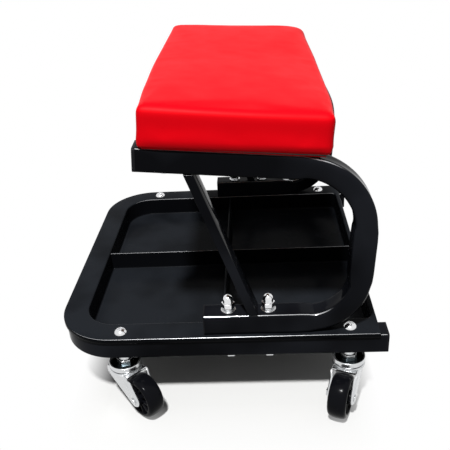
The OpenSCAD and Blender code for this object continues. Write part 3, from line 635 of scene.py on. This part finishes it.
def blown_up(piece):
    """Cloth under pressure, held where it lies on the board, with each point's movement capped."""
    start = [v.co.copy() for v in piece.data.vertices]
    held = piece.vertex_groups.new(name="held")
    held.add([v.index for v in piece.data.vertices if v.co.z < (SEAT_FOOT + 3) * MM], 1.0, "REPLACE")
    cloth = piece.modifiers.new("cloth", "CLOTH")
    cloth.settings.quality = 5
    cloth.settings.mass = 0.3
    cloth.settings.tension_stiffness = 18
    cloth.settings.compression_stiffness = 18
    cloth.settings.shear_stiffness = 8
    cloth.settings.bending_stiffness = 2.0
    cloth.settings.use_pressure = True
    cloth.settings.uniform_pressure_force = PRESSURE
    cloth.settings.vertex_group_mass = "held"
    cloth.settings.effector_weights.gravity = 0.0
    cloth.collision_settings.use_collision = False
    cloth.point_cache.frame_start = 1
    cloth.point_cache.frame_end = CLOTH_FRAMES
    for step in range(1, CLOTH_FRAMES + 1):
        bpy.context.scene.frame_set(step)
    settle(piece)
    bpy.context.scene.frame_set(1)
    for v, was in zip(piece.data.vertices, start):
        move = v.co - was
        if move.length > CLOTH_REACH:
            v.co = was + move * (CLOTH_REACH / move.length)


def cover_point(u, y, w):
    """Where a point of the even cover ends up: bowed out, stuffed, tucked in and with its hem lifted."""
    half = SEAT_W / 2
    along, across = (y + half) / SEAT_W, u / SEAT_L
    middle = REAR_OUT + REAR_OUT_MIDDLE * ease(along / 0.2) * ease((w - 4) / 22)
    bow = FRONT_OUT - FRONT_OUT_LOSS * ease((along - 0.12) / 0.38)
    push = (middle - REAR_IN_FAR * ease((along - 0.6) / 0.3)) * across * abs(across)
    push -= (middle - bow) * (1 - across) ** 2
    stuffed = STUFFED_FRONT + STUFFED_REAR * max(0.0, across) ** 0.6 * max(0.0, 1 - across ** 12)
    rise = stuffed * ease((along - 0.45) / 0.55) * ease((w - 8) / 30)
    tuck = max(0.0, 1 - w / 5) ** 2 * max(0.0, across)
    foot = SEAT_FOOT + (w - SEAT_FOOT) * min(1.0, ((w - SEAT_FOOT) / 5.5) ** 2)
    edge = max(abs(y) - half, u - SEAT_U - SEAT_L)
    outer = ease((edge + 4) / 3)
    lift = (LIFT_INNER * ease((edge + 7) / 2) + LIFT_OUTER * outer) * (0.2 + 0.8 * ease(across / 0.95))
    lift = (lift + LIFT_REAR * ease((across - 0.86) / 0.13) * outer) * max(0.0, 1 - w / 14)
    return seat_place(u + push - TUCK_REAR * tuck * across, y - math.copysign(TUCK_END * tuck, y),
                      foot + rise + lift)


def seat_cover():
    """Blown-up cover whose front bows out past its near end and whose far edge is stuffed higher."""
    piece = rings_mesh("seat_cover", seat_form())
    remesh = piece.modifiers.new("voxels", "REMESH")
    remesh.mode = "VOXEL"
    remesh.voxel_size = VOXEL
    settle(piece)
    blown_up(piece)
    even = piece.modifiers.new("even", "SMOOTH")
    even.factor = 0.5
    even.iterations = 1
    smooth = piece.modifiers.new("finer", "SUBSURF")
    smooth.levels = smooth.render_levels = 1
    settle(piece)
    half = SEAT_W / 2
    stretch_to(piece, (-1.5 * MM, -half * MM, SEAT_FOOT * MM),
               ((SEAT_U + SEAT_L) * MM, half * MM, (SEAT_TOP + 5.0) * MM))
    for v in piece.data.vertices:
        v.co = Vector(cover_point(*(c / MM for c in v.co))) * MM
    pocket = rings_mesh("board_pocket", [
        [seat_place(SEAT_U + SEAT_L / 2 + sx * (SEAT_L / 2 - POCKET_INSET), sy * (half - POCKET_INSET), w)
         for sx, sy in SEAT_CORNERS] for w in (-4, POCKET_TOP)])
    cutter = piece.modifiers.new("pocket", "BOOLEAN")
    cutter.operation = "DIFFERENCE"
    cutter.solver = "EXACT"
    cutter.object = pocket
    settle(piece)
    bpy.data.objects.remove(pocket)
    finish_mesh(piece, 60)
    dress(piece, "vinyl", "stool_frame", "seat_cushion")


seat_cover()


# Casters
FRONT_CASTER_IN, REAR_CASTER_IN = 78.5, 42.0
FRONT_SWING, REAR_SWING = 44.0, 112.0
WHEEL_R, WHEEL_W, TRAIL, FORK_W, FORK_SHEET = 26.0, 21.5, 30.5, 31.0, 2.0
DISH_R, TIP_R, CROWN_BACK, CROWN_FRONT = 19.0, 8.0, 17.5, 20.0
CROWN_SHEET, CROWN_BEND = 2.4, 3.0
DISH_TOP = 2 * WHEEL_R + 6
CROWN_TOP = DISH_TOP - CROWN_SHEET - 2.6
CROWN_REAR_Z = CROWN_TOP - 4 * CROWN_SHEET
AXLE_D, HUB_R, RIBS = 5.0, 8.0, 10
BALL_CIRCLE, DISH_BORE, RACE_BORE = 14.2, 5.05, 5.1
AXLE_SHARE = 0.45


def caster_place(corner):
    """The frame of one caster: +X is the way it trails, and Z = 0 is the floor."""
    front, left = corner.startswith("front"), corner.endswith("left")
    x = -BASE_L / 2 + FRONT_CASTER_IN if front else BASE_L / 2 - REAR_CASTER_IN
    y = (BASE_W - TUBE) / 2 * (-1 if left else 1)
    swing = math.radians((FRONT_SWING if front else REAR_SWING) * (-1 if left else 1))
    return Matrix.Translation((x * MM, y * MM, 0)) @ Matrix.Rotation(swing, 4, "Z")


def axle_place(corner):
    """The frame about a caster's axle, whose axis becomes Z."""
    return (caster_place(corner) @ Matrix.Translation((TRAIL * MM, 0, WHEEL_R * MM))
            @ Matrix.Rotation(math.radians(90), 4, "X"))


def lathed(name, profile, steps=72):
    """A closed profile of radii and heights, turned about Z."""
    rings = []
    for k in range(steps + 1):
        a = 2 * math.pi * (k % steps) / steps
        rings.append([(r * math.cos(a), r * math.sin(a), z) for r, z in profile])
    return rings_mesh(name, rings, False)


def pressed_dish(corner):
    """Upper dish: a pressed floor with a ball groove under it and a rolled lip."""
    under, lip = DISH_TOP - CROWN_SHEET, DISH_TOP + 4.4
    profile = [(DISH_BORE, under), (11.2, under)] + arc(BALL_CIRCLE, under - 1.3, 2.8, 150, 30, 6)
    profile += [(17.6, under), (18.4, under + 0.3), (18.9, under + 1.0), (DISH_R, under + 2.0)]
    profile += [(DISH_R - 0.1, lip - 1.2)] + arc(DISH_R - 0.9, lip - 0.8, 0.8, 0, 180, 6)
    profile += [(17.2, DISH_TOP + 2.6), (16.6, DISH_TOP + 1.2), (15.4, DISH_TOP + 0.3), (14, DISH_TOP),
                (DISH_BORE, DISH_TOP)]
    piece = lathed("pressed_dish_" + corner, profile)
    piece.data.transform(caster_place(corner))
    finish_mesh(piece, 50)
    dress(piece, "zinc", "stool_frame", "dish_" + corner)


def tangent_point(x, z, side):
    """Where the line from a corner of the fork's leg touches the leg's round tip."""
    d = math.hypot(TRAIL - x, WHEEL_R - z)
    a = math.atan2(WHEEL_R - z, TRAIL - x) + side * math.asin(TIP_R / d)
    t = math.sqrt(d * d - TIP_R * TIP_R)
    return x + t * math.cos(a), z + t * math.sin(a)


def leg_span(z):
    """Rear and front edge of a fork leg at height z."""
    rx, rz = tangent_point(-CROWN_BACK, CROWN_REAR_Z, -1)
    fx, fz = tangent_point(CROWN_FRONT, CROWN_TOP, 1)
    tip = math.sqrt(max(0.0, TIP_R ** 2 - (z - WHEEL_R) ** 2))
    if z >= CROWN_REAR_Z:
        rear = -CROWN_BACK
    elif z >= rz:
        rear = rx + (z - rz) / (CROWN_REAR_Z - rz) * (-CROWN_BACK - rx)
    else:
        rear = TRAIL - tip
    front = fx + (z - fz) / (CROWN_TOP - fz) * (CROWN_FRONT - fx) if z >= fz else TRAIL + tip
    return rear, front


def fork_rows():
    """Y, Z and outward normal of the bent sheet's outer face, from one leg's tip over to the other's."""
    flat = FORK_W / 2 - CROWN_BEND
    half = [(y, CROWN_TOP, 0.0, 1.0) for y in (0, 4, 8, flat)]
    for k in (22.5, 45, 67.5, 90):
        s, c = math.sin(math.radians(k)), math.cos(math.radians(k))
        half.append((flat + CROWN_BEND * s, CROWN_TOP - CROWN_BEND + CROWN_BEND * c, s, c))
    heights = [CROWN_TOP - CROWN_BEND - 2, 45, 43.4, 40, 36, 32, 29]
    heights += [WHEEL_R + TIP_R * math.sin(math.radians(a)) for a in (0, -20, -40, -58, -74, -84)]
    half += [(FORK_W / 2, z, 1.0, 0.0) for z in heights]
    return [(-y, z, -ny, nz) for y, z, ny, nz in reversed(half[1:])] + half


def race_ring():
    """The ball race that is pressed round the fork's crown."""
    top = CROWN_TOP + 1.8
    profile = [(RACE_BORE, 50.9), (18.5, 50.9)] + arc(18.5, 51.4, 0.5, -90, 0, 3)
    profile += [(DISH_R, 52.5), (18.5, 52.9), (18.4, 53.2), (18.6, 53.5), (DISH_R, 53.8)]
    profile += arc(18.5, top - 0.5, 0.5, 0, 90, 3) + [(17.3, top), (16.6, top - 1.2)]
    profile += arc(BALL_CIRCLE, CROWN_TOP + 1.3, 2.7, -30, -150, 6)
    profile += [(11.2, CROWN_TOP + 0.3), (RACE_BORE, CROWN_TOP + 0.3)]
    return lathed("race", profile)


def bent_fork(corner):
    """Fork bent from one sheet, its legs' front edges turned in, with its race ring pressed on."""
    rings = []
    for y, z, ny, nz in fork_rows():
        on_leg = abs(y) > FORK_W / 2 - CROWN_BEND
        rear, front = leg_span(z) if on_leg else (-CROWN_BACK, CROWN_FRONT)
        strip = min(3.5 + 2.5 * max(0.0, (z - WHEEL_R) / 26), 0.42 * (front - rear))
        turned = 0.36 * abs(ny) * ease((CROWN_TOP - 2 - z) / 6)
        across = [(rear + (front - strip - rear) * k / 5, 0.0) for k in range(6)]
        across += [(front - strip / 2, strip / 2 * turned), (front, strip * turned)]
        sheet = CROWN_SHEET - (CROWN_SHEET - FORK_SHEET) * abs(ny)
        outer = [(x, y - ny * into, z - nz * into) for x, into in across]
        inner = [(x, y - ny * (into + sheet), z - nz * (into + sheet)) for x, into in across]
        rings.append(outer + inner[::-1])
    piece = rings_mesh("bent_fork_" + corner, rings)
    bm = bmesh.new()
    bm.from_mesh(piece.data)
    bevel(bm, 50, 0.35, 2)
    bm.to_mesh(piece.data)
    bm.free()
    join(piece, race_ring())
    piece.data.transform(caster_place(corner))
    finish_mesh(piece, 28)
    dress(piece, "zinc", "swivel_" + corner, "fork_" + corner)


def moulded_wheel(corner):
    """Wheel with a crowned tread, soft shoulders, and a ribbed recess round the hub in each face."""
    half, hub = WHEEL_W / 2, (FORK_W - 2 * FORK_SHEET) / 2 - 0.35
    bore = AXLE_D / 2 + 0.05 + 1.4 + 0.08
    side = [(bore, hub - 0.4), (bore + 0.4, hub), (HUB_R - 1, hub)] + arc(HUB_R - 1, hub - 1, 1, 90, 0, 4)
    side += [(HUB_R + 0.3, half - 4.2), (HUB_R + 1.2, half - 5.2), (17.8, half - 5.2), (18.9, half - 4.6),
             (19.3, half - 3.4), (19.6, half - 0.9), (20.1, half - 0.2), (20.8, half)]
    side += arc(WHEEL_R - 5.2, half - 4.6, 4.6, 88, 16, 9)
    side += [(WHEEL_R - 0.36, half - 5.2), (WHEEL_R - 0.16, half - 7.0), (WHEEL_R - 0.04, half - 9.0),
             (WHEEL_R, 0.6)]
    skin = lathed("moulded_wheel_" + corner, side + [(r, -z) for r, z in reversed(side)], 96)
    bm = bmesh.new()
    bm.from_mesh(skin.data)
    bpy.data.objects.remove(skin)
    rib_half = [(0.95, half - 5.6), (0.75, half - 2.0), (0.4, half - 1.5)]
    rib = [(-y, z) for y, z in rib_half] + rib_half[::-1]
    for face in (-1, 1):
        for n in range(RIBS):
            one = rings_mesh("rib", [[(r, y, face * z) for y, z in rib] for r in (7.4, 11, 15, 19.9)])
            one.data.transform(Matrix.Rotation(2 * math.pi * n / RIBS, 4, "Z"))
            bm.from_mesh(one.data)
            bpy.data.objects.remove(one)
    mesh = bpy.data.meshes.new("moulded_wheel_" + corner)
    bm.to_mesh(mesh)
    bm.free()
    mesh.transform(axle_place(corner))
    piece = link(mesh.name, mesh)
    finish_mesh(piece, 34)
    dress(piece, "wheel_plastic", "roller_" + corner, "wheel_" + corner)


def sunk_ends(piece, corner):
    """Draws in what stands out past the fork's legs, along the axle."""
    place = caster_place(corner)
    piece.data.transform(place.inverted())
    leg = FORK_W / 2 * MM
    for v in piece.data.vertices:
        if abs(v.co.y) > leg:
            v.co.y = math.copysign(leg + (abs(v.co.y) - leg) * AXLE_SHARE, v.co.y)
    piece.data.transform(place)


for corner in CORNERS:
    pressed_dish(corner)
    bent_fork(corner)
    moulded_wheel(corner)
    eased("stem_" + corner, 0.5, "stool_frame")
    sunk_ends(eased("axle_" + corner, 0.5, "swivel_" + corner), corner)
    sunk_ends(eased("axle_nut_" + corner, 0.5, "swivel_" + corner), corner)


# Struts, plugs and fasteners
for side in ("left", "right"):
    eased("strut_" + side, 1.3, "stool_frame", 20, 3)
    for kind in ("top", "foot", "rail"):
        eased(kind + "_plug_" + side, 0.5, "stool_frame")
for node in ("frame_bolts", "acorn_nuts", "caster_screws"):
    eased(node, 0.45, "stool_frame")
for node in ("lower_washers", "upper_washers", "spring_washers"):
    eased(node, 0.3, "stool_frame")


# Floor and light
FLOOR_HALF = 14.0
FLOOR_LIT, FLOOR_DARK, FLOOR_LIGHT = (0.22, 0.22, 0.22), (0.73, 0.73, 0.72), (0.76, 0.76, 0.75)
SHADOW_BOX = ((BASE_L / 2 - 50) * MM, BASE_W / 2 * MM, 0)
SHADOW_WEIGHTS, SHADOW_FADE = (2.2, 1, 1), 0.10
WORLD_STRENGTH = 0.14


def floor():
    """Pale floor that keeps the shadow near the object and is the plain white backdrop past it.

    Light that it sends up under the object is held low by a darker colour for ordinary rays.
    """
    mesh = bpy.data.meshes.new("floor")
    half = FLOOR_HALF
    mesh.from_pydata([(-half, -half, 0), (half, -half, 0), (half, half, 0), (-half, half, 0)], [],
                     [(0, 1, 2, 3)])
    mat, tree, shader, where = principled("floor_white")
    shader.inputs["Roughness"].default_value = 0.6
    shader.inputs["Specular IOR Level"].default_value = 0.2
    seen = seen_rays(tree)
    colour = tree.nodes.new("ShaderNodeMix")
    colour.data_type = "RGBA"
    colour.inputs["A"].default_value = (*FLOOR_LIT, 1)
    tree.links.new(seen, colour.inputs["Factor"])
    plain = blend_colours(tree, noise(tree, where, 3, 2), FLOOR_DARK, FLOOR_LIGHT)
    tree.links.new(plain, colour.inputs["B"])
    tree.links.new(colour.outputs["Result"], shader.inputs["Base Color"])
    beyond = vector_math(tree, "SUBTRACT", vector_math(tree, "ABSOLUTE", where), SHADOW_BOX)
    outside = vector_math(tree, "MAXIMUM", beyond, (0, 0, 0))
    reach = vector_math(tree, "LENGTH", vector_math(tree, "MULTIPLY", outside, SHADOW_WEIGHTS))
    away = remap(tree, reach, 0.0, 1.0, 0.0, SHADOW_FADE)
    white = tree.nodes.new("ShaderNodeEmission")
    white.inputs["Color"].default_value = (1, 1, 1, 1)
    white.inputs["Strength"].default_value = 1.0
    mix_shaders(tree, times(tree, away, seen), shader, white, "Material Output")
    mesh.materials.append(mat)
    link("floor", mesh)


def area_light(name, place, target, size, power):
    """A round lamp that shines from one place towards another."""
    data = bpy.data.lights.new(name, "AREA")
    data.shape = "DISK"
    data.size = size
    data.energy = power
    lamp = link(name, data)
    lamp.location = place
    lamp.rotation_mode = "QUATERNION"
    lamp.rotation_quaternion = (Vector(target) - Vector(place)).to_track_quat("-Z", "Y")


def world():
    """White for the camera and for reflections, plain pale light for the rest."""
    scene_world = bpy.data.worlds.new("studio")
    bpy.context.scene.world = scene_world
    scene_world.use_nodes = True
    tree = scene_world.node_tree
    plain = tree.nodes["Background"]
    plain.inputs["Color"].default_value = (1, 1, 1, 1)
    plain.inputs["Strength"].default_value = WORLD_STRENGTH
    seen = tree.nodes.new("ShaderNodeBackground")
    seen.inputs["Color"].default_value = (1, 1, 1, 1)
    seen.inputs["Strength"].default_value = 1.0
    mix_shaders(tree, seen_rays(tree), plain, seen, "World Output")


floor()
world()
area_light("key", (-0.15, -1.08, 1.90), (0, 0, 0.15), 0.16, 56)
bpy.context.scene.view_settings.view_transform = "Standard"


# Camera, as solved from the photograph
CAMERA_AT = (0.0516, -0.7438, 0.5364)
YAW, PITCH, ROLL = -0.0640067, 0.4897634, 0.0649770
LENS, SENSOR = 49.28, 36


def camera():
    """The photograph's view: turned by yaw, tipped down by pitch, then rolled about its line of sight."""
    data = bpy.data.cameras.new("camera")
    data.sensor_width = SENSOR
    data.sensor_fit = "HORIZONTAL"
    data.lens = LENS
    data.clip_start = 0.01
    data.clip_end = 60
    piece = link("camera", data)
    forward = Vector((math.sin(YAW) * math.cos(PITCH), math.cos(YAW) * math.cos(PITCH), -math.sin(PITCH)))
    right = Vector((math.cos(YAW), -math.sin(YAW), 0))
    down = forward.cross(right)
    right, down = (math.cos(ROLL) * right + math.sin(ROLL) * down,
                   -math.sin(ROLL) * right + math.cos(ROLL) * down)
    turn = Matrix((right, -down, -forward)).transposed()
    piece.matrix_world = Matrix.Translation(CAMERA_AT) @ turn.to_4x4()
    bpy.context.scene.camera = piece


camera()
